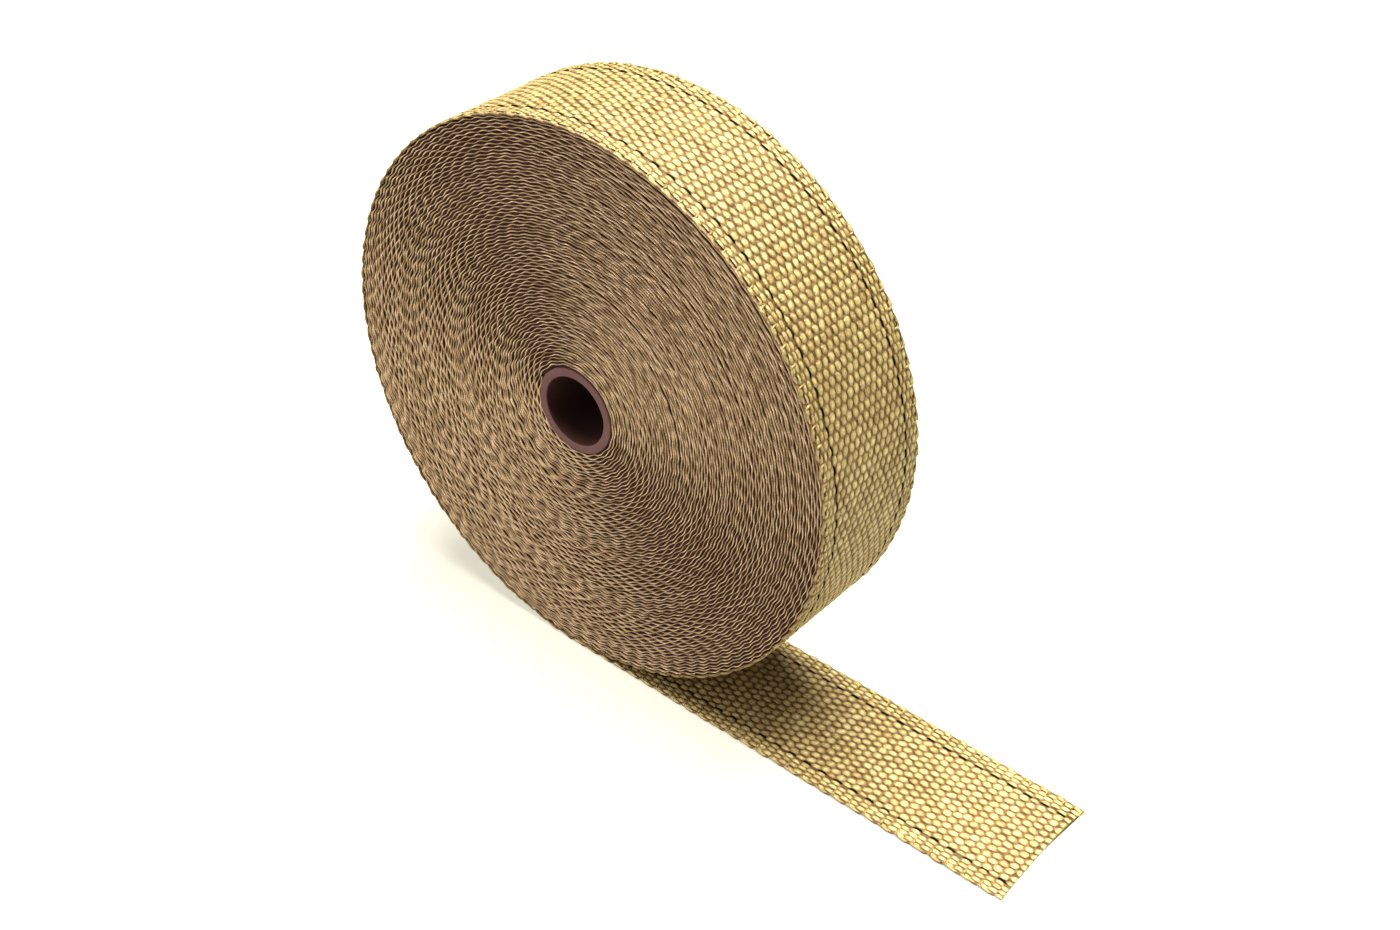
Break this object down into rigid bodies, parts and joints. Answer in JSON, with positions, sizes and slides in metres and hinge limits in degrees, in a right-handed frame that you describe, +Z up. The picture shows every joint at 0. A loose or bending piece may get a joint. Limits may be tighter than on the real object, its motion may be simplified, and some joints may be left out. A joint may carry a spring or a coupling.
{
  "type": "exhaust heat wrap roll",
  "caption": "Roll of woven heat-resistant tape wound on a paper core, standing on its rim with a short loose end laid flat on the floor.",
  "frame": {"origin": "on the floor under the roll's axle, half way across the tape", "axes": "+Y along the axle, across the tape, with the end that shows in the picture on the -Y side; +X along the loose end; +Z up"},
  "size_m": [0.2841, 0.0508, 0.2062],
  "materials": {
    "glass_tape": "matte",
    "core_paper": "matte"
  },
  "bodies": {
    "root": {"wrap_tape": "glass_tape", "core_tube": "core_paper"}
  },
  "joints": []
}
